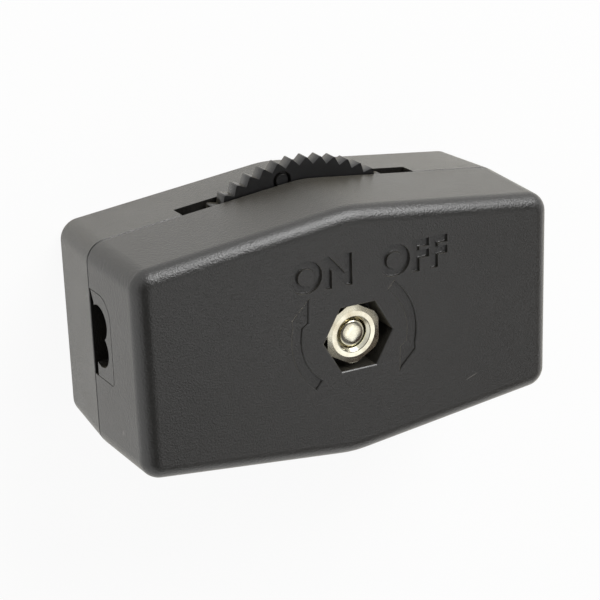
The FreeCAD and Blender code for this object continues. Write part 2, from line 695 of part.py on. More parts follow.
def make_fixed_contact(label, side):
    """One contact; side is 1 at the +X end of the switch and -1 at the other."""
    body = new_body(label, CONTACT_HEIGHT)

    def along(expression):
        return f"{side} * {expression}"

    strip = sketch_on(body, f"{label}_outline")
    blade_low = f"({CORE_LINE} - Sizes.blade_width / 2)"
    blade_high = f"({CORE_LINE} + Sizes.blade_width / 2)"
    base_low = f"({CORE_LINE} - Sizes.base_width / 2)"
    base_high = f"({CORE_LINE} + Sizes.base_width / 2)"
    blade_start = along(f"({ARM_REACH} - Sizes.arm_pad_length - Sizes.blade_overreach)")
    base_start = along(f"({PRONG_INNER} - Sizes.base_lead)")
    base_end = along(CONTACT_END)
    draw_polygon(strip, [
        (blade_start, blade_low), (base_start, blade_low), (base_start, base_low), (base_end, base_low),
        (base_end, base_high), (base_start, base_high), (base_start, blade_high), (blade_start, blade_high),
    ])
    stake = along(f"({PRONG_INNER} + Sizes.prong_pitch / 2)")
    draw_circle(strip, stake, CORE_LINE, "(Sizes.stake_radius + Sizes.stake_clearance)")
    extrude("Pad", strip, f"{label}_strip", "Sizes.contact_thickness")

    # The prongs reach almost to the roof of the cord's channel
    left = f"({CORE_LINE} - Sizes.prong_width / 2)"
    right = f"({CORE_LINE} + Sizes.prong_width / 2)"
    roof = "(Sizes.rear_depth + Sizes.lobe_height + Sizes.lobe_radius)"
    tip = f"({roof} - Sizes.prong_roof_gap - {CONTACT_HEIGHT})"
    for name, place in (("inner_prong", PRONG_INNER), ("outer_prong", PRONG_OUTER)):
        prong = sketch_on(body, f"{label}_{name}_outline", "YZ_Plane", along(place))
        draw_polygon(prong, [
            (left, "0"), (right, "0"), (right, f"({tip} - Sizes.prong_point)"),
            (CORE_LINE, tip), (left, f"({tip} - Sizes.prong_point)"),
        ])
        extrude("Pad", prong, f"{label}_{name}", "Sizes.contact_thickness", both_ways=True)
    return body


# Clamp screw, measured from the underside of its head

def make_clamp_screw():
    body = new_body("clamp_screw", HEAD_SEAT)
    section = sketch_on(body, "screw_section", "XZ_Plane")
    nut_face = "(Sizes.rear_depth + Sizes.front_depth - Sizes.nut_below_face)"
    end = f"({nut_face} - Sizes.screw_short_of_nut - {HEAD_SEAT})"
    draw_polygon(section, [
        ("0", "-Sizes.head_height"),
        ("(Sizes.head_radius - Sizes.head_crown)", "-Sizes.head_height"),
        ("Sizes.head_radius", "(Sizes.head_crown - Sizes.head_height)"),
        ("Sizes.head_radius", "0"),
        ("Sizes.screw_radius", "0"),
        ("Sizes.screw_radius", f"({end} - Sizes.screw_end_height)"),
        ("Sizes.screw_end_radius", end),
        ("0", end),
    ])
    revolve(section, "screw_turned")
    slot = sketch_on(body, "driver_slot_outline", offset="-Sizes.head_height")
    half = "Sizes.head_slot_width / 2"
    draw_rectangle(slot, f"-{half}", half, f"-{HEAD_RECESS_RADIUS}", HEAD_RECESS_RADIUS)
    extrude("Pocket", slot, "driver_slot", "Sizes.head_slot_depth")
    return body


# Hexagon nut, measured from its seat

def make_hex_nut():
    body = new_body("hex_nut", f"Sizes.rear_depth + {NUT_SEAT}")
    outline = sketch_on(body, "nut_outline")
    draw_hexagon(outline, "Sizes.nut_across_flats")
    draw_circle(outline, "0", "0", "(Sizes.screw_radius + Sizes.thread_clearance)")
    extrude("Pad", outline, "nut_block", "Sizes.nut_thickness")

    # Turning the corners off its face gives the nut its curved edges; the cutter reaches past them
    cutter = sketch_on(body, "nut_corner_section", "XZ_Plane")
    face_radius = "(Sizes.nut_across_flats / 2 + Sizes.nut_face_spread)"
    beyond = "(2 * Sizes.nut_across_flats / 3)"
    drop = f"(({beyond} - {face_radius}) * tan(Sizes.nut_corner_angle * 1 deg))"
    draw_polygon(cutter, [
        (face_radius, "Sizes.nut_thickness"),
        (beyond, f"(Sizes.nut_thickness - {drop})"),
        (beyond, "(2 * Sizes.nut_thickness)"),
        (face_radius, "(2 * Sizes.nut_thickness)"),
    ])
    groove = body.newObject("PartDesign::Groove", "nut_corner_turning")
    groove.Profile = cutter
    groove.ReferenceAxis = (cutter, ["V_Axis"])
    groove.Angle = 360
    return body


bodies = [
    make_front_cover(),
    make_rear_cover(),
    make_thumbwheel(),
    make_bridge_contact(),
    make_fixed_contact("left_contact", -1),
    make_fixed_contact("right_contact", 1),
    make_clamp_screw(),
    make_hex_nut(),
]
doc.recompute()

# Checks and export

for item in doc.Objects:
    if "Invalid" in item.State or "Error" in item.State:
        raise RuntimeError(f"{item.Name} failed: {item.State}")
for body in bodies:
    if body.Shape.isNull() or not body.Shape.isValid():
        raise RuntimeError(f"{body.Label} has no valid shape")

os.makedirs("parts", exist_ok=True)
for body in bodies:
    body.Shape.exportStep(f"parts/{body.Label}.step")
    box = body.Shape.BoundBox
    print(f"{body.Label}: {len(body.Shape.Solids)} solid, {body.Shape.Volume:.1f} mm3, "
          f"x {box.XMin:.2f} to {box.XMax:.2f}, y {box.YMin:.2f} to {box.YMax:.2f}, "
          f"z {box.ZMin:.2f} to {box.ZMax:.2f}")
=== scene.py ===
# %% [markdown]
# # An inline cord switch, built piece by piece
# This lesson dresses the engineering model of a small lamp-cord switch: two dark moulded covers, a black
# toothed thumbwheel between them, and one screw that runs into a sunk hexagon nut.
# The engineering solids come in as a fixed frame. Pieces whose shape is already right keep their solid and
# get a better finish; the wheel, the nut and the screw are made again with the fine edges of the real ones,
# and the front cover gets its engraved words.

import math

import bmesh
import bpy
from mathutils import Matrix, Vector
from mathutils.kdtree import KDTree


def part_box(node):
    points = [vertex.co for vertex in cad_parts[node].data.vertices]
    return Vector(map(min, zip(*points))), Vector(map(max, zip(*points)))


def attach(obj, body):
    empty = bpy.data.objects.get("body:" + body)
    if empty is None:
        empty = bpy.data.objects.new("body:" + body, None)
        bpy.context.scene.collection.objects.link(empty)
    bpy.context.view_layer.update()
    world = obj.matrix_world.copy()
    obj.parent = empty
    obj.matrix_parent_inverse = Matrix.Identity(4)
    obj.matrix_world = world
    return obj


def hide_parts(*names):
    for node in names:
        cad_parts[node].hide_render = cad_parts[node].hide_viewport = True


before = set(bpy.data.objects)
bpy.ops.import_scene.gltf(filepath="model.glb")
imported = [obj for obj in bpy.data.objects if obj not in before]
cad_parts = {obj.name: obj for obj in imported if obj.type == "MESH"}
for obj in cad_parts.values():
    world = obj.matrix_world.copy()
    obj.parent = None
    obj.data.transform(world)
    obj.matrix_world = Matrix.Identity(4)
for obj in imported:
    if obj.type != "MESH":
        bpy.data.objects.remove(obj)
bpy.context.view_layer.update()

# %% [markdown]
# ## Units and colours
# The scene is in metres, and every size of the switch is easier to read in millimetres, so one name turns
# one into the other. Colours are written as the hex values that a paint program shows, and shaders want
# linear light, so one function turns them. One more function adds a node, its settings and its links, and
# the last one turns a real size into the scale of a pattern.

# %% Helpers for units, colours and nodes
MM = 0.001
WELD = 0.001 * MM


def linear(hex_colour):
    """The linear RGBA of an sRGB hex colour such as 3a3937."""
    channels = [int(hex_colour[i:i + 2], 16) / 255 for i in (0, 2, 4)]
    return [c / 12.92 if c <= 0.04045 else ((c + 0.055) / 1.055) ** 2.4 for c in channels] + [1.0]


def add(tree, kind, inputs=None, **settings):
    """Adds a node. Inputs are given by name or number: a socket is linked, anything else is its value."""
    node = tree.nodes.new(kind)
    for setting, value in settings.items():
        setattr(node, setting, value)
    for key, value in (inputs or {}).items():
        socket = node.inputs[key]
        if isinstance(value, bpy.types.NodeSocket):
            tree.links.new(value, socket)
        else:
            socket.default_value = value
    return node


def per_mm(size):
    """The scale that gives a noise pattern features of about this many millimetres."""
    return 1 / (size * MM)


print("points closer than", WELD / MM, "mm count as one")

# %% [markdown]
# ## Moulded plastic
# The covers are moulded from a dark, nearly black phenolic resin with a trace of brown. The mould was
# spark-eroded, so the skin has a fine grain, about 0.2 mm across. The plastic has hardly any colour of its
# own to show: what the eye sees is light that its skin reflects, more at a grazing angle than straight on.
# That is why the colour is so dark here, and why the grain matters more than the colour: it spreads each
# reflection, and makes the rounded rims sparkle.
# A larger, very faint mottling is how handling dulls the skin, and two scuffs from use show paler. A thin
# bloom of dust and mould wax lifts whatever is seen at a slant: sheen does that, and leaves a face that is
# seen straight on dark.
# The wheel is the same kind of plastic in black, with a finer grain. Both come from one recipe with
# different colours and sizes, because a recipe that is written twice drifts apart.

# %% Recipe for moulded plastic
SCUFF_COLOUR = "6a6862"
BLOOM_COLOUR = "f0e6cc"
BLOOM_ROUGHNESS = 0.32
GLOSS_SPREAD = 0.04


def moulded_plastic(
    name, colour, rubbed_colour, grain, grain_height, mottle, roughness, ior, bloom, scuffs=(),
):
    """Grained, moulded plastic. The grain, the mottling and the scuffs are given in millimetres."""
    material = bpy.data.materials.new(name)
    material.use_nodes = True
    tree = material.node_tree
    shader = tree.nodes["Principled BSDF"]
    place = add(tree, "ShaderNodeTexCoord").outputs["Object"]

    # Handling leaves broad patches that are a little paler and duller
    patches = add(tree, "ShaderNodeTexNoise", {
        "Vector": place, "Scale": per_mm(mottle), "Detail": 5.0, "Roughness": 0.62,
    })
    tone = add(tree, "ShaderNodeValToRGB", {"Fac": patches.outputs["Fac"]})
    tone.color_ramp.elements[0].position = 0.35
    tone.color_ramp.elements[0].color = linear(colour)
    tone.color_ramp.elements[1].position = 0.75
    tone.color_ramp.elements[1].color = linear(rubbed_colour)
    skin_colour = tone.outputs["Color"]

    # Scuffs are flattened balls of paler plastic that the surface cuts through
    for centre, radii, turn in scuffs:
        ball = add(tree, "ShaderNodeMapping", {
            "Vector": place, "Location": [v * MM for v in centre],
            "Rotation": (0.0, 0.0, math.radians(turn)), "Scale": [v * MM for v in radii],
        }, vector_type="TEXTURE")
        reach = add(tree, "ShaderNodeVectorMath", {0: ball.outputs["Vector"]}, operation="LENGTH")
        inside = add(tree, "ShaderNodeMapRange", {
            "Value": reach.outputs["Value"], "From Min": 0.6, "From Max": 1.0, "To Min": 0.8, "To Max": 0.0,
        })
        mixed = add(tree, "ShaderNodeMix", {
            "Factor": inside.outputs["Result"], "A": skin_colour, "B": linear(SCUFF_COLOUR),
        }, data_type="RGBA")
        skin_colour = mixed.outputs["Result"]

    # The grain's peaks catch a trace more light than its valleys
    skin = add(tree, "ShaderNodeTexNoise", {
        "Vector": place, "Scale": per_mm(grain), "Detail": 3.0, "Roughness": 0.6,
    })
    shade = add(tree, "ShaderNodeMapRange", {
        "Value": skin.outputs["Fac"], "From Min": 0.3, "From Max": 0.7, "To Min": 0.7, "To Max": 1.3,
    })
    grained = add(tree, "ShaderNodeVectorMath", {
        0: skin_colour, "Scale": shade.outputs["Result"],
    }, operation="SCALE")
    tree.links.new(grained.outputs["Vector"], shader.inputs["Base Color"])

    gloss = add(tree, "ShaderNodeMapRange", {
        "Value": patches.outputs["Fac"], "From Min": 0.3, "From Max": 0.7,
        "To Min": roughness - GLOSS_SPREAD, "To Max": roughness + GLOSS_SPREAD,
    })
    tree.links.new(gloss.outputs["Result"], shader.inputs["Roughness"])

    relief = add(tree, "ShaderNodeBump", {
        "Strength": 1.0, "Distance": grain_height * MM, "Height": skin.outputs["Fac"],
    })
    tree.links.new(relief.outputs["Normal"], shader.inputs["Normal"])
    shader.inputs["IOR"].default_value = ior
    shader.inputs["Sheen Weight"].default_value = bloom
    shader.inputs["Sheen Roughness"].default_value = BLOOM_ROUGHNESS
    shader.inputs["Sheen Tint"].default_value = linear(BLOOM_COLOUR)
    return material


# %% The two plastics
# Each scuff has its centre and its radii in millimetres, and its turn in degrees
END_SCUFF = ((-22.4, -6.6, 13.9), (0.8, 0.35, 0.28), 0)
FACE_SCRATCH = ((12.9, -7.1, 18.5), (0.9, 0.05, 0.5), 20)

cover_plastic = moulded_plastic(
    "moulded_phenolic_dark_brown", "161513", "1c1b19", grain=0.2, grain_height=0.05,
    mottle=7.0, roughness=0.32, ior=1.68, bloom=0.5, scuffs=(END_SCUFF, FACE_SCRATCH),
)
wheel_plastic = moulded_plastic(
    "moulded_phenolic_black", "0c0c0e", "121214", grain=0.12, grain_height=0.012,
    mottle=4.0, roughness=0.3, ior=1.5, bloom=0.5,
)
print("plastics:", cover_plastic.name, "and", wheel_plastic.name)


# %% [markdown]
# ## Metals
# The screw and the nut are steel with a bright nickel plating, which is a little yellower than chromium.
# The nut was turned on its face, which leaves rings round the switch's axis, and the plating is cloudy
# between them. Real tool marks stand a few hundredths of a millimetre apart, too fine to show, so they are
# drawn 0.75 mm apart. The contacts inside are stamped from brass strip: rolled, so they are streaked along
# the switch, and slightly tarnished. A metal takes its tones from what it mirrors, so both have a pale
# colour and no grey of their own.

# %% Nickel-plated steel
RING_SPACING = 0.754
CLOUD_SIZE = 1.6
PIT_SIZE = 0.35
WAVES_AT_SCALE_ONE = 20 / math.tau


def plated_steel(name, colour, clouded_colour, ring_height):
    """Bright nickel plating over turned steel. The rings run round the switch's own axis."""
    material = bpy.data.materials.new(name)
    material.use_nodes = True
    tree = material.node_tree
    shader = tree.nodes["Principled BSDF"]
    shader.inputs["Metallic"].default_value = 1.0
    place = add(tree, "ShaderNodeTexCoord").outputs["Object"]

    clouds = add(tree, "ShaderNodeTexNoise", {
        "Vector": place, "Scale": per_mm(CLOUD_SIZE), "Detail": 3.0, "Roughness": 0.5,
    })
    tint = add(tree, "ShaderNodeValToRGB", {"Fac": clouds.outputs["Fac"]})
    tint.color_ramp.elements[0].position = 0.4
    tint.color_ramp.elements[0].color = linear(colour)
    tint.color_ramp.elements[1].position = 0.72
    tint.color_ramp.elements[1].color = linear(clouded_colour)
    tree.links.new(tint.outputs["Color"], shader.inputs["Base Color"])
    gloss = add(tree, "ShaderNodeMapRange", {
        "Value": clouds.outputs["Fac"], "From Min": 0.35, "From Max": 0.7, "To Min": 0.13, "To Max": 0.24,
    })
    tree.links.new(gloss.outputs["Result"], shader.inputs["Roughness"])

    rings = add(tree, "ShaderNodeTexWave", {
        "Vector": place, "Scale": per_mm(RING_SPACING) / WAVES_AT_SCALE_ONE,
        "Distortion": 1.5, "Detail": 2.0,
    }, wave_type="RINGS", rings_direction="Z")
    pits = add(tree, "ShaderNodeTexNoise", {"Vector": place, "Scale": per_mm(PIT_SIZE), "Detail": 3.0})
    height = add(tree, "ShaderNodeMath", {
        0: rings.outputs["Fac"], 1: pits.outputs["Fac"],
    }, operation="ADD")
    relief = add(tree, "ShaderNodeBump", {
        "Strength": 1.0, "Distance": ring_height * MM, "Height": height.outputs["Value"],
    })
    tree.links.new(relief.outputs["Normal"], shader.inputs["Normal"])
    return material


nickel = plated_steel("bright_nickel_plating", "dedbc9", "c6bda6", ring_height=0.0015)
print("plating:", nickel.name)

# %% Rolled brass
STREAK_WIDTH = 0.15
STREAK_STRETCH = 0.06
TARNISH_SIZE = 2.5
STREAK_HEIGHT = 0.003


def rolled_brass(name, colour, tarnish_colour):
    """Brass strip with rolling streaks along the switch, and light tarnish."""
    material = bpy.data.materials.new(name)
    material.use_nodes = True
    tree = material.node_tree
    shader = tree.nodes["Principled BSDF"]
    shader.inputs["Metallic"].default_value = 1.0
    place = add(tree, "ShaderNodeTexCoord").outputs["Object"]
    stretched = add(tree, "ShaderNodeMapping", {"Vector": place, "Scale": (STREAK_STRETCH, 1.0, 1.0)})
    streaks = add(tree, "ShaderNodeTexNoise", {
        "Vector": stretched.outputs["Vector"], "Scale": per_mm(STREAK_WIDTH), "Detail": 3.0,
    })
    spots = add(tree, "ShaderNodeTexNoise", {"Vector": place, "Scale": per_mm(TARNISH_SIZE), "Detail": 4.0})
    tint = add(tree, "ShaderNodeMix", {
        "Factor": spots.outputs["Fac"], "A": linear(colour), "B": linear(tarnish_colour),
    }, data_type="RGBA")
    tree.links.new(tint.outputs["Result"], shader.inputs["Base Color"])
    gloss = add(tree, "ShaderNodeMapRange", {
        "Value": streaks.outputs["Fac"], "To Min": 0.22, "To Max": 0.42,
    })
    tree.links.new(gloss.outputs["Result"], shader.inputs["Roughness"])
    relief = add(tree, "ShaderNodeBump", {
        "Strength": 1.0, "Distance": STREAK_HEIGHT * MM, "Height": streaks.outputs["Fac"],
    })
    tree.links.new(relief.outputs["Normal"], shader.inputs["Normal"])
    return material


brass = rolled_brass("rolled_brass_strip", "d9b36a", "b08a45")
print("strip:", brass.name)

# %% [markdown]
# ## Rear cover and contacts
# The rear cover and the stamped contacts already have their real forms as engineering solids, with drafted
# walls, rounded rims and wheel slots. They stay, and only take their finish here.

# %% Finish the carried-over solids
for node, finish in (
    ("rear_cover", cover_plastic),
    ("bridge_contact", brass),
    ("left_contact", brass),
    ("right_contact", brass),
):
    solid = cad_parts[node]
    solid.data.materials.clear()
    solid.data.materials.append(finish)
    print(node, "has", len(solid.data.polygons), "faces")

# %% [markdown]
# ## Front cover and its engraved words
# The front cover has its real form too, with the sunk arrows that show which way the wheel turns. What is
# missing is its lettering, which the mould cuts as grooves with sloped walls and a narrow floor, and the
# dark line of the seam.
# Letters could be a picture laid over the plastic, or a pattern in its material. Here they are real
# grooves, because the slopes are what catches the light. Blender's own font gives the outlines, a bevel
# gives them sloped sides, and one exact boolean cuts them out of a copy of the solid. The words are the
# plain ON and OFF that such a switch carries.
# The solids of the two covers touch, so their seam would vanish. The copy's lower edge is lifted by a tenth
# of a millimetre, which is about what two moulded edges leave between them.

# %% Helpers for pieces made by script
SLIVER_ANGLE = math.radians(0.05)
ROUNDED_FROM = math.radians(30)


def bake_modifiers(piece):
    """Keeps what the modifiers make as the piece's own mesh."""
    made = bpy.data.meshes.new_from_object(piece.evaluated_get(bpy.context.evaluated_depsgraph_get()))
    piece.modifiers.clear()
    piece.data = made


def settle(name, mesh, material, place=(0, 0, 0), round_by=None):
    """Makes an object at the origin from a mesh: outward faces, rounded edges, place in its points."""
    work = bmesh.new()
    work.from_mesh(mesh)
    bmesh.ops.recalc_face_normals(work, faces=work.faces)
    work.to_mesh(mesh)
    work.free()
    mesh.transform(Matrix.Translation(Vector(place)))
    piece = bpy.data.objects.new(name, mesh)
    bpy.context.scene.collection.objects.link(piece)
    if round_by:
        edge = piece.modifiers.new("edge", "BEVEL")
        edge.width = round_by * MM
        edge.segments = 2
        edge.limit_method = "ANGLE"
        edge.angle_limit = ROUNDED_FROM
        bake_modifiers(piece)
    piece.data.materials.clear()
    piece.data.materials.append(material)
    return piece


def cut_with(piece, tool, operation="DIFFERENCE"):
    """Cuts a closed piece with another one, whose solid is taken away or is all that is kept."""
    cut = piece.modifiers.new("cut", "BOOLEAN")
    cut.operation = operation
    cut.solver = "EXACT"
    cut.object = tool
    bake_modifiers(piece)
    bpy.data.objects.remove(tool)


def shade_rounds(piece, sharp_angle):
    """Shades the rounds smoothly, while the flat faces, which weigh more, stay flat."""
    work = bmesh.new()
    work.from_mesh(piece.data)
    bmesh.ops.dissolve_limit(work, angle_limit=SLIVER_ANGLE, verts=work.verts, edges=work.edges)
    work.to_mesh(piece.data)
    work.free()
    piece.data.shade_smooth()
    piece.data.set_sharp_from_angle(angle=math.radians(sharp_angle))
    normals = piece.modifiers.new("normals", "WEIGHTED_NORMAL")
    normals.keep_sharp = True
    bake_modifiers(piece)


# %% Letter cutters
LETTER_HEIGHT = 2.8 * MM
LETTER_SPACING = 1.08
CURVE_STEPS = 6

# A font's size is the height of its line, and its capitals fill this share of it
CAPITAL_SHARE = 0.7

# A groove is wider than the font's thin stroke, and each of its walls leans over this width
GROOVE_DEPTH = 0.3 * MM
GROOVE_WIDENING = 0.09 * MM
GROOVE_SLOPE = 0.13 * MM
ABOVE_FACE = 0.2 * MM


def letter_cutter(word, left, bottom, face_height):
    """A closed solid of sloped letters, sunk into the face by the depth of the groove."""
    outline = bpy.data.curves.new(f"word_{word}", "FONT")
    outline.body = word
    outline.size = LETTER_HEIGHT / CAPITAL_SHARE
    outline.space_character = LETTER_SPACING
    outline.resolution_u = CURVE_STEPS
    outline.offset = GROOVE_WIDENING
    outline.bevel_depth = GROOVE_SLOPE
    outline.bevel_resolution = 1
    outline.extrude = (GROOVE_DEPTH + ABOVE_FACE - GROOVE_SLOPE) / 2
    letters = bpy.data.objects.new(outline.name, outline)
    bpy.context.scene.collection.objects.link(letters)
    mesh = bpy.data.meshes.new_from_object(letters.evaluated_get(bpy.context.evaluated_depsgraph_get()))
    bpy.data.objects.remove(letters)
    work = bmesh.new()
    work.from_mesh(mesh)
    bmesh.ops.remove_doubles(work, verts=work.verts, dist=WELD)
    work.to_mesh(mesh)
    work.free()
    deepest = min(v.co.z for v in mesh.vertices)
    place = (left * MM, bottom * MM, face_height - GROOVE_DEPTH - deepest)
    return settle(outline.name, mesh, cover_plastic, place)


print("letters stand", LETTER_HEIGHT / MM, "mm high and", GROOVE_DEPTH / MM, "mm deep")

# %% Cut the words into a copy of the solid
front_low, front_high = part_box("front_cover")
front_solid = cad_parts["front_cover"].data
SEAM_BEVEL = 0.1 * MM
SEAM_SLIT = 0.1 * MM

# Each word with its left and bottom edge in millimetres
WORDS = (("ON", -6.7, 5.4), ("OFF", 2.7, 5.3))

# Edges that fold by more degrees than this stay sharp, here and on the screw
SHARP_FOLD = 28


def lifted(spot):
    """The spot itself, or a hair above it where it belongs to the cover's lower edge."""
    return spot + Vector((0, 0, SEAM_SLIT)) if spot.z < front_low.z + SEAM_BEVEL else spot


copy = bmesh.new()
copy.from_mesh(front_solid)
bmesh.ops.remove_doubles(copy, verts=copy.verts, dist=WELD)
for point in copy.verts:
    point.co = lifted(point.co)
cover_mesh = bpy.data.meshes.new("engraved_cover")
copy.to_mesh(cover_mesh)
copy.free()
cover = settle("engraved_cover", cover_mesh, cover_plastic)
for word, left, bottom in WORDS:
    cut_with(cover, letter_cutter(word, left, bottom, front_high.z))
shade_rounds(cover, SHARP_FOLD)
print("the front cover has", len(cover.data.polygons), "faces")

# %% [markdown]
# ### Shading of the cover
# A boolean leaves long slivers on the flat face, and shading that is guessed from them shows as smudges.
# The engineering solid knows how its rounds really turn. So each corner of the copy looks for the solid's
# point at its place and takes the normal that faces its own way best. New corners, in the letters, take
# the normal of their own face.

# %% Exact normals for the cover
SAME_ROUND = math.cos(math.radians(30))
solid_normals = [[] for _ in front_solid.vertices]
for corner in front_solid.loops:
    solid_normals[corner.vertex_index].append(front_solid.corner_normals[corner.index].vector.copy())
solid_points = KDTree(len(front_solid.vertices))
for point in front_solid.vertices:
    solid_points.insert(lifted(point.co), point.index)
solid_points.balance()

normals = []
for face in cover.data.polygons:
    for index in face.vertices:
        near = solid_points.find_range(cover.data.vertices[index].co, WELD)
        known = [normal for _, source, _ in near for normal in solid_normals[source]]
        best = max(known, key=face.normal.dot, default=face.normal)
        normals.append(best if best.dot(face.normal) > SAME_ROUND else face.normal)
cover.data.normals_split_custom_set(normals)
print("the cover's", len(normals), "corners have their normals")
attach(cover, "housing")
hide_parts("front_cover")

# %% [markdown]
# ## Thumbwheel
# The wheel is a flat moulded disc with V-shaped teeth, a square hub that carries the bridge contact, a bore
# for the post, and two sunk rings that show in the slot when the switch is on. It could be cut tooth by
# tooth, but its outline follows a rule: three points a tooth, again and again. Geometry Nodes write that
# rule down once. A circle with three points a tooth is pushed in and out by the number of each point, then
# flat faces are filled between closed outlines and the outlines are pulled down into walls. Sixty teeth or
# forty then differ by one number.

# %% Wheel sizes, from the engineering solid
wheel_low, wheel_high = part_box("thumbwheel")
WHEEL = {
    "Teeth": 60,
    "Rim radius": 14.75 * MM,
    "Tooth depth": 0.7 * MM,
    "Disc thickness": 1.6 * MM,
    "Bore radius": 3.06 * MM,
    "Hub width": 8.0 * MM,
    "Hub length": wheel_high.z - wheel_low.z,
    "Mark distance": 13.0 * MM,
    "Mark angle": math.radians(98.5),
    "Mark radius": 0.95 * MM,
    "Button radius": 0.62 * MM,
    "Mark depth": 0.45 * MM,
}
print("the wheel is", round((wheel_high.z - wheel_low.z) / MM, 2), "mm deep with its hub")


# %% Start and end of a tree
def make_tree(name, sizes):
    """A Geometry Nodes group with one input for each size and one for the material."""
    tree = bpy.data.node_groups.new(name, "GeometryNodeTree")
    tree.interface.new_socket("Geometry", in_out="INPUT", socket_type="NodeSocketGeometry")
    tree.interface.new_socket("Geometry", in_out="OUTPUT", socket_type="NodeSocketGeometry")
    for label, value in sizes.items():
        kind = "NodeSocketInt" if isinstance(value, int) else "NodeSocketFloat"
        tree.interface.new_socket(label, in_out="INPUT", socket_type=kind)
    tree.interface.new_socket("Material", in_out="INPUT", socket_type="NodeSocketMaterial")
    return tree, add(tree, "NodeGroupInput").outputs


def finish_tree(tree, geometry, material):
    """Every tree ends in real geometry with its material, because an export drops instances."""
    real = add(tree, "GeometryNodeRealizeInstances", {"Geometry": geometry})
    painted = add(tree, "GeometryNodeSetMaterial", {
        "Geometry": real.outputs["Geometry"], "Material": material,
    })
    add(tree, "NodeGroupOutput", {"Geometry": painted.outputs["Geometry"]})


tree, size = make_tree("toothed_wheel", WHEEL)
print("the tree takes", len(size) - 1, "inputs")

# %% The outline of the teeth
# Three points a tooth: the root of a groove, then the two corners of the land that follows it
points = add(tree, "ShaderNodeMath", {0: size["Teeth"], 1: 3.0}, operation="MULTIPLY").outputs[0]
circle = add(tree, "GeometryNodeMeshCircle", {"Vertices": points, "Radius": 1.0})
number = add(tree, "GeometryNodeInputIndex").outputs["Index"]
third = add(tree, "ShaderNodeMath", {0: number, 1: 3.0}, operation="DIVIDE").outputs[0]
tooth = add(tree, "ShaderNodeMath", {0: third}, operation="FLOOR").outputs[0]
corner = add(tree, "ShaderNodeMath", {0: number, 1: 3.0}, operation="MODULO").outputs[0]
is_root = add(tree, "ShaderNodeMath", {0: corner, 1: 0.5}, operation="LESS_THAN").outputs[0]

# A groove's half mouth is as wide as it is deep; the land ends as far before the next groove
pitch = add(tree, "ShaderNodeMath", {0: math.tau, 1: size["Teeth"]}, operation="DIVIDE").outputs[0]
mouth = add(tree, "ShaderNodeMath", {
    0: size["Tooth depth"], 1: size["Rim radius"],
}, operation="DIVIDE").outputs[0]
land_end = add(tree, "ShaderNodeMath", {0: pitch, 1: mouth}, operation="SUBTRACT").outputs[0]
after_root = add(tree, "ShaderNodeMapRange", {
    "Value": corner, "From Min": 1.0, "From Max": 2.0, "To Min": mouth, "To Max": land_end,
}).outputs["Result"]
beyond = add(tree, "ShaderNodeMix", {"Factor": is_root, "A": after_root, "B": 0.0}).outputs["Result"]
turn = add(tree, "ShaderNodeMath", {0: tooth, 1: pitch, 2: beyond}, operation="MULTIPLY_ADD").outputs[0]
reach = add(tree, "ShaderNodeMath", {
    0: is_root, 1: size["Tooth depth"],
}, operation="MULTIPLY").outputs[0]
reach = add(tree, "ShaderNodeMath", {0: size["Rim radius"], 1: reach}, operation="SUBTRACT").outputs[0]
out = add(tree, "ShaderNodeCombineXYZ", {"X": reach}).outputs["Vector"]
spot = add(tree, "ShaderNodeVectorRotate", {
    "Vector": out, "Axis": (0.0, 0.0, 1.0), "Angle": turn,
}).outputs["Vector"]
teeth = add(tree, "GeometryNodeSetPosition", {"Geometry": circle.outputs["Mesh"], "Position": spot})
print("the outline has", 3 * WHEEL["Teeth"], "points")

# %% The outlines of the bore, the hub and the marks
BORE_STEPS = 64
MARK_STEPS = 32
bore = add(tree, "GeometryNodeMeshCircle", {"Vertices": BORE_STEPS, "Radius": size["Bore radius"]})
hub_corner = add(tree, "ShaderNodeMath", {
    0: size["Hub width"], 1: math.sqrt(0.5),
}, operation="MULTIPLY").outputs[0]
square = add(tree, "GeometryNodeMeshCircle", {"Vertices": 4, "Radius": hub_corner})
hub = add(tree, "GeometryNodeTransform", {
    "Geometry": square.outputs["Mesh"], "Rotation": (0.0, 0.0, math.radians(45)),
})

# A mark is a ring with a button inside, and the second mark lies opposite the first
ring = add(tree, "GeometryNodeMeshCircle", {"Vertices": MARK_STEPS, "Radius": size["Mark radius"]})
button = add(tree, "GeometryNodeMeshCircle", {"Vertices": MARK_STEPS, "Radius": size["Button radius"]})
mark = add(tree, "GeometryNodeJoinGeometry", {0: ring.outputs["Mesh"]})
tree.links.new(button.outputs["Mesh"], mark.inputs[0])
to_mark = add(tree, "ShaderNodeVectorRotate", {
    "Vector": add(tree, "ShaderNodeCombineXYZ", {"X": size["Mark distance"]}).outputs["Vector"],
    "Axis": (0.0, 0.0, 1.0), "Angle": size["Mark angle"],
}).outputs["Vector"]
opposite = add(tree, "ShaderNodeVectorMath", {0: to_mark, "Scale": -1.0}, operation="SCALE")
two = add(tree, "GeometryNodeMeshLine", {
    "Count": 2, "Start Location": to_mark, "Offset": opposite.outputs["Vector"],
}, mode="END_POINTS")
spread = add(tree, "GeometryNodeInstanceOnPoints", {
    "Points": two.outputs["Mesh"], "Instance": mark.outputs["Geometry"],
})
marks = add(tree, "GeometryNodeRealizeInstances", {"Geometry": spread.outputs["Instances"]})
outlines = {
    "teeth": teeth.outputs["Geometry"],
    "bore": bore.outputs["Mesh"],
    "hub": hub.outputs["Geometry"],
    "marks": marks.outputs["Geometry"],
}
print("outlines:", ", ".join(outlines))


# %% Faces and walls from outlines
def downwards(distance):
    """The vector that leads this far under the wheel's front face."""
    depth = add(tree, "ShaderNodeMath", {0: distance, 1: -1.0}, operation="MULTIPLY").outputs[0]
    return add(tree, "ShaderNodeCombineXYZ", {"Z": depth}).outputs["Vector"]


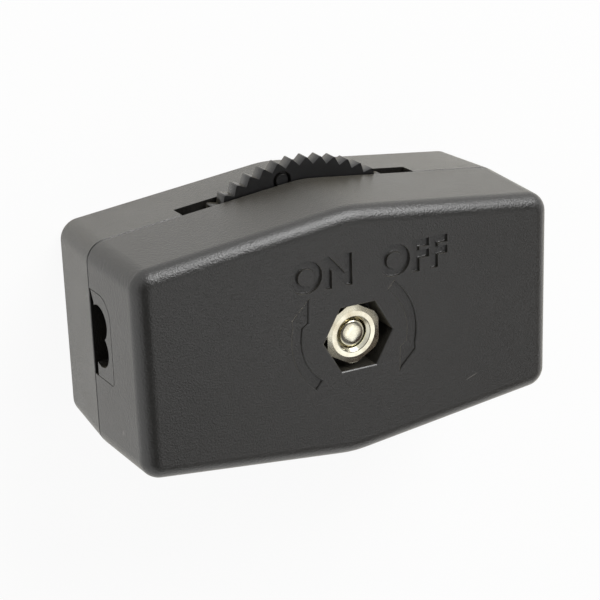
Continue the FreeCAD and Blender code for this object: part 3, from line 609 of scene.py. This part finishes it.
def filled(outlines, depth):
    """A flat face between closed outlines, at a depth under the wheel's front face."""
    joined = add(tree, "GeometryNodeJoinGeometry")
    for outline in outlines:
        tree.links.new(outline, joined.inputs[0])
    line = add(tree, "GeometryNodeMeshToCurve", {"Mesh": joined.outputs["Geometry"]})
    face = add(tree, "GeometryNodeFillCurve", {"Curve": line.outputs["Curve"]})
    return add(tree, "GeometryNodeTransform", {
        "Geometry": face.outputs["Mesh"], "Translation": downwards(depth),
    }).outputs["Geometry"]


def walled(outline, start, height):
    """A wall that hangs from an outline, from a start depth and for a height."""
    lowered = add(tree, "GeometryNodeTransform", {"Geometry": outline, "Translation": downwards(start)})
    return add(tree, "GeometryNodeExtrudeMesh", {
        "Mesh": lowered.outputs["Geometry"], "Offset": downwards(height), "Offset Scale": 1.0,
    }, mode="EDGES").outputs["Mesh"]


# %% The whole wheel
below_disc = add(tree, "ShaderNodeMath", {
    0: size["Hub length"], 1: size["Disc thickness"],
}, operation="SUBTRACT").outputs[0]
whole = add(tree, "GeometryNodeJoinGeometry")
for part in (
    filled([outlines["teeth"], outlines["bore"], outlines["marks"]], 0.0),
    filled([outlines["teeth"], outlines["hub"]], size["Disc thickness"]),
    filled([outlines["hub"], outlines["bore"]], size["Hub length"]),
    filled([outlines["marks"]], size["Mark depth"]),
    walled(outlines["teeth"], 0.0, size["Disc thickness"]),
    walled(outlines["hub"], size["Disc thickness"], below_disc),
    walled(outlines["bore"], 0.0, size["Hub length"]),
    walled(outlines["marks"], 0.0, size["Mark depth"]),
):
    tree.links.new(part, whole.inputs[0])
merged = add(tree, "GeometryNodeMergeByDistance", {
    "Geometry": whole.outputs["Geometry"], "Distance": WELD,
})
finish_tree(tree, merged.outputs["Geometry"], size["Material"])
print("the tree has", len(tree.nodes), "nodes")

# %% Wheel mesh
TOOTH_ROUNDING = 0.05


def grow(name, tree, sizes, material, place, round_by):
    """Runs a tree once and keeps its result as a plain mesh with fine rounded edges."""
    seed = bpy.data.objects.new(f"{name}_seed", bpy.data.meshes.new(f"{name}_seed"))
    bpy.context.scene.collection.objects.link(seed)
    nodes = seed.modifiers.new("tree", "NODES")
    nodes.node_group = tree
    for socket in tree.interface.items_tree:
        if socket.in_out == "INPUT" and socket.name in sizes:
            nodes[socket.identifier] = sizes[socket.name]
        elif socket.in_out == "INPUT" and socket.name == "Material":
            nodes[socket.identifier] = material
    mesh = bpy.data.meshes.new_from_object(seed.evaluated_get(bpy.context.evaluated_depsgraph_get()))
    bpy.data.objects.remove(seed)
    mesh.name = name
    return settle(name, mesh, material, place, round_by)


wheel = grow("toothed_wheel", tree, WHEEL, wheel_plastic, (0, 0, wheel_high.z), TOOTH_ROUNDING)
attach(wheel, "wheel")
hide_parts("thumbwheel")
print("the wheel has", len(wheel.data.polygons), "faces")

# %% [markdown]
# ## Nut and screw
# Both are turned shapes. The screw's thread is a ridge that climbs as it goes round, so its skin is a pile
# of rings, and a rule gives every point its radius and height from its angle.
# A nut is turned from a hexagon bar, and it is made so here too: a turned body with a countersink, a face
# that drops a little towards its rim and corners that are cut off steeply, and then only what lies inside
# the hexagon bar is kept. The curved edges where cone and flats meet come out by themselves.

# %% Skins of rings
def turned_skin(name, rows, material, place=(0, 0, 0), steps=96, closed=False):
    """
    A skin of rows round the Z axis. Each row is a rule: angle in, (radius, height) out.
    A closed skin joins its last row to its first, as a nut's bore does; else both ends are filled.
    """
    work = bmesh.new()
    rings = []
    for rule in rows:
        ring = []
        for k in range(steps):
            angle = math.tau * k / steps
            radius, height = rule(angle)
            ring.append(work.verts.new((radius * math.cos(angle), radius * math.sin(angle), height)))
        rings.append(ring)
    pairs = list(zip(rings, rings[1:]))
    if closed:
        pairs.append((rings[-1], rings[0]))
    else:
        work.faces.new(rings[0])
        work.faces.new(list(reversed(rings[-1])))
    for lower, upper in pairs:
        for k in range(steps):
            work.faces.new((lower[k], upper[k], upper[(k + 1) % steps], lower[(k + 1) % steps]))
    mesh = bpy.data.meshes.new(name)
    work.to_mesh(mesh)
    work.free()
    return settle(name, mesh, material, place)


def plain_row(radius, height):
    """A row that is a circle."""
    return lambda angle: (radius, height)


# %% Nut
nut_low, nut_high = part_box("hex_nut")
NUT_WIDTH = 5.5 * MM
NUT_BORE = 1.52
PAST_CORNERS = 3.3
nut_height = nut_high.z - nut_low.z
bar_radius = NUT_WIDTH / math.sqrt(3)

# Radius, and how far it lies under the nut's top, in millimetres: the cut corners, the slope, the flat
# ring and the countersink. The cone of the cut corners starts outside the bar, so that the flats cut it.
FACE_PROFILE = [
    (PAST_CORNERS, 0.46), (2.98, 0.11), (2.92, 0.09), (2.3, 0.0), (1.85, 0.0), (1.78, 0.03), (1.54, 0.3),
    (NUT_BORE, 0.36),
]

# The slope is gentle, so even a fold of this many degrees has to stay sharp
SHARP_FOLD_ON_NUT = 6

rows = [plain_row(NUT_BORE * MM, 0.0), plain_row(PAST_CORNERS * MM, 0.0)]
rows += [plain_row(radius * MM, nut_height - drop * MM) for radius, drop in FACE_PROFILE]
nut = turned_skin("plated_nut", rows, nickel, place=(0, 0, nut_low.z), closed=True)
bar = bmesh.new()
bmesh.ops.create_cone(
    bar, segments=6, radius1=bar_radius, radius2=bar_radius, depth=3 * nut_height, cap_ends=True,
    matrix=Matrix.Translation((0, 0, nut_low.z)))
bar_mesh = bpy.data.meshes.new("hexagon_bar")
bar.to_mesh(bar_mesh)
bar.free()
cut_with(nut, settle("hexagon_bar", bar_mesh, nickel), "INTERSECT")
shade_rounds(nut, SHARP_FOLD_ON_NUT)
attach(nut, "housing")
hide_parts("hex_nut")
print("the nut has", len(nut.data.polygons), "faces")

# %% Screw with its thread
screw_low, screw_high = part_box("clamp_screw")
THREAD_PITCH = 0.5 * MM
THREAD_DEPTH = 0.25 * MM
THREAD_RADIUS = 1.5 * MM
THREAD_LENGTH = 9.0 * MM
ROWS_A_TURN = 8
SHANK_RADIUS = THREAD_RADIUS - 0.12 * MM
BARE_END = 0.45 * MM
DOME_RADIUS = 1.25 * MM
DOME_HEIGHT = 0.16 * MM
DOME_SHARES = (0.0, 0.2, 0.4, 0.6, 0.8, 0.95)
HEAD_RADIUS = 2.8 * MM
HEAD_HEIGHT = 2.0 * MM
HEAD_EDGE = 0.04 * MM
SLOT_WIDTH = 0.8 * MM
SLOT_DEPTH = 0.9 * MM
SCREW_STEPS = 48

# The head's rounded rim: how far each row lies inside the rim and above the head's face, in millimetres
HEAD_ROUND = ((0.5, 0.0), (0.2, 0.1), (0.05, 0.3), (0.0, 0.5))


def thread_row(height):
    """A row of the thread: its ridge climbs one pitch a turn."""
    def rule(angle):
        phase = (height / THREAD_PITCH - angle / math.tau) % 1
        ridge = abs(phase - 0.5) * 2
        return THREAD_RADIUS - THREAD_DEPTH * ridge, height
    return rule


head_top = screw_low.z + HEAD_HEIGHT
thread_end = screw_high.z - BARE_END
thread_start = thread_end - THREAD_LENGTH
rows = [plain_row(HEAD_RADIUS - inset * MM, screw_low.z + height * MM) for inset, height in HEAD_ROUND]
rows += [
    plain_row(HEAD_RADIUS, head_top - HEAD_EDGE),
    plain_row(HEAD_RADIUS - HEAD_EDGE, head_top),
    plain_row(SHANK_RADIUS, head_top),
    plain_row(SHANK_RADIUS, thread_start),
]
count = int(THREAD_LENGTH / THREAD_PITCH * ROWS_A_TURN)
rows += [thread_row(thread_start + THREAD_LENGTH * i / count) for i in range(1, count + 1)]
for share in DOME_SHARES:
    angle = share * math.pi / 2
    rows.append(plain_row(DOME_RADIUS * math.cos(angle), screw_high.z - DOME_HEIGHT * (1 - math.sin(angle))))
screw = turned_skin("slotted_screw", rows, nickel, steps=SCREW_STEPS)
print("the thread climbs over", count, "rows")

# %% Driver's slot across the head
slot_block = bmesh.new()
bmesh.ops.create_cube(slot_block, size=1.0, matrix=Matrix.Translation((0, 0, screw_low.z)) @ Matrix.Diagonal(
    (SLOT_WIDTH, 3 * HEAD_RADIUS, 2 * SLOT_DEPTH, 1)))
slot_mesh = bpy.data.meshes.new("driver_slot")
slot_block.to_mesh(slot_mesh)
slot_block.free()
cut_with(screw, settle("driver_slot", slot_mesh, nickel))
shade_rounds(screw, SHARP_FOLD)
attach(screw, "housing")
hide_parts("clamp_screw")
print("the screw has", len(screw.data.polygons), "faces")

# %% [markdown]
# ## Floor, light and camera
# The switch was photographed in a white light tent with the camera looking in at its open, darker side.
# Dark plastic and bright metal both show little but what they mirror, so what stands round the switch
# matters more than how much light falls on it. The floor is white: it shows as plain white to the camera
# and in reflections, and keeps the shadow. The sky is bright low down and dim overhead, with a brown patch
# where the tent is open to the room.
# Of the three soft lamps, the one behind the long side gives the rims their bright line. The second stands
# where the flat front mirrors it towards the camera. The third stands overhead, where the nut's slope and
# the screw's dome mirror it.

# %% Floor
REACH = 3.0
CLEARANCE = 0.02 * MM
GLOW_SHARE = 0.93
floor_mesh = bpy.data.meshes.new("floor")
floor_mesh.from_pydata(
    [(-REACH, -REACH, -CLEARANCE), (REACH, -REACH, -CLEARANCE), (REACH, REACH, -CLEARANCE),
     (-REACH, REACH, -CLEARANCE)], [], [(0, 1, 2, 3)])
floor = bpy.data.objects.new("floor", floor_mesh)
bpy.context.scene.collection.objects.link(floor)
print("the floor lies", CLEARANCE / MM, "mm under the switch, so that the two don't share a face")

# %% Paper for the floor
# It is lit like any paper, except that the camera and reflections see mostly an even white
paper = bpy.data.materials.new("white_paper")
paper.use_nodes = True
tree = paper.node_tree
shader = tree.nodes["Principled BSDF"]
shader.inputs["Base Color"].default_value = linear("eeeeec")
shader.inputs["Roughness"].default_value = 0.9
shader.inputs["Specular IOR Level"].default_value = 0.1
rays = add(tree, "ShaderNodeLightPath").outputs
mirrored = add(tree, "ShaderNodeMath", {
    0: rays["Is Glossy Ray"], 1: rays["Is Transmission Ray"],
}, operation="MAXIMUM").outputs[0]
seen = add(tree, "ShaderNodeMath", {0: rays["Is Camera Ray"], 1: mirrored}, operation="MAXIMUM").outputs[0]
share = add(tree, "ShaderNodeMath", {0: seen, 1: GLOW_SHARE}, operation="MULTIPLY").outputs[0]
glow = add(tree, "ShaderNodeEmission", {"Color": (1.0, 1.0, 1.0, 1.0), "Strength": 1.0})
mixed = add(tree, "ShaderNodeMixShader", {
    0: share, 1: shader.outputs["BSDF"], 2: glow.outputs["Emission"],
})
tree.links.new(mixed.outputs["Shader"], tree.nodes["Material Output"].inputs["Surface"])
floor_mesh.materials.append(paper)
print("the floor is", paper.name)

# %% Sky
LOW_SKY = 1.05
HIGH_SKY = 0.1
OPENING = Vector((0.62, -0.52, 0.59))
OPENING_COLOUR = "4a3226"
OPENING_RADIUS = 0.24
OPENING_FADE = 0.42
world = bpy.data.worlds.new("light_tent")
world.use_nodes = True
bpy.context.scene.world = world
tree = world.node_tree
sky_direction = add(tree, "ShaderNodeTexCoord").outputs["Generated"]
height = add(tree, "ShaderNodeSeparateXYZ", {"Vector": sky_direction}).outputs["Z"]
tone = add(tree, "ShaderNodeMapRange", {
    "Value": height, "From Min": 0.2, "From Max": 0.85, "To Min": LOW_SKY, "To Max": HIGH_SKY,
}, interpolation_type="SMOOTHSTEP").outputs["Result"]
sky = tree.nodes["Background"]
tree.links.new(tone, sky.inputs["Strength"])
from_opening = add(tree, "ShaderNodeVectorMath", {
    0: sky_direction, 1: OPENING,
}, operation="DISTANCE").outputs["Value"]
opening_edge = add(tree, "ShaderNodeMapRange", {
    "Value": from_opening, "From Min": OPENING_RADIUS, "From Max": OPENING_FADE,
}).outputs["Result"]
sky_colour = add(tree, "ShaderNodeMix", {
    "Factor": opening_edge, "A": linear(OPENING_COLOUR), "B": linear("ffffff"),
}, data_type="RGBA").outputs["Result"]
tree.links.new(sky_colour, sky.inputs["Color"])
print("the sky goes from", LOW_SKY, "low down to", HIGH_SKY, "overhead")

# %% Lamps
SWITCH_MIDDLE = Vector((0, 0, 0.01))


def soft_lamp(name, place, size, power):
    """A square soft box that looks at the switch."""
    lamp = bpy.data.lights.new(name, "AREA")
    lamp.shape = "SQUARE"
    lamp.size = size
    lamp.energy = power
    box = bpy.data.objects.new(name, lamp)
    bpy.context.scene.collection.objects.link(box)
    box.location = place
    box.rotation_euler = (SWITCH_MIDDLE - Vector(place)).to_track_quat("-Z", "Y").to_euler()
    print(name, "is", size, "m wide, at", power, "W")


soft_lamp("long_side_box", (0.13, 0.27, 0.2), 0.22, 1.15)
soft_lamp("mirrored_box", (0.14, -0.11, 0.28), 0.115, 0.058)
soft_lamp("overhead_box", (0.07, -0.045, 0.32), 0.15, 0.066)

# %% Camera, at the photo's viewing angle
camera_data = bpy.data.cameras.new("camera")
camera_data.lens = 115.689
camera_data.sensor_width = 36.0
camera_data.clip_start = 0.01
camera = bpy.data.objects.new("camera", camera_data)
camera.location = (-0.0806839, 0.0681068, 0.1667095)
camera.rotation_euler = [math.radians(v) for v in (-19.9417, -27.526, -2.0796)]
bpy.context.scene.collection.objects.link(camera)
bpy.context.scene.camera = camera
bpy.context.scene.view_settings.view_transform = "Standard"
print("the camera stands", round(camera.location.length, 3), "m away")
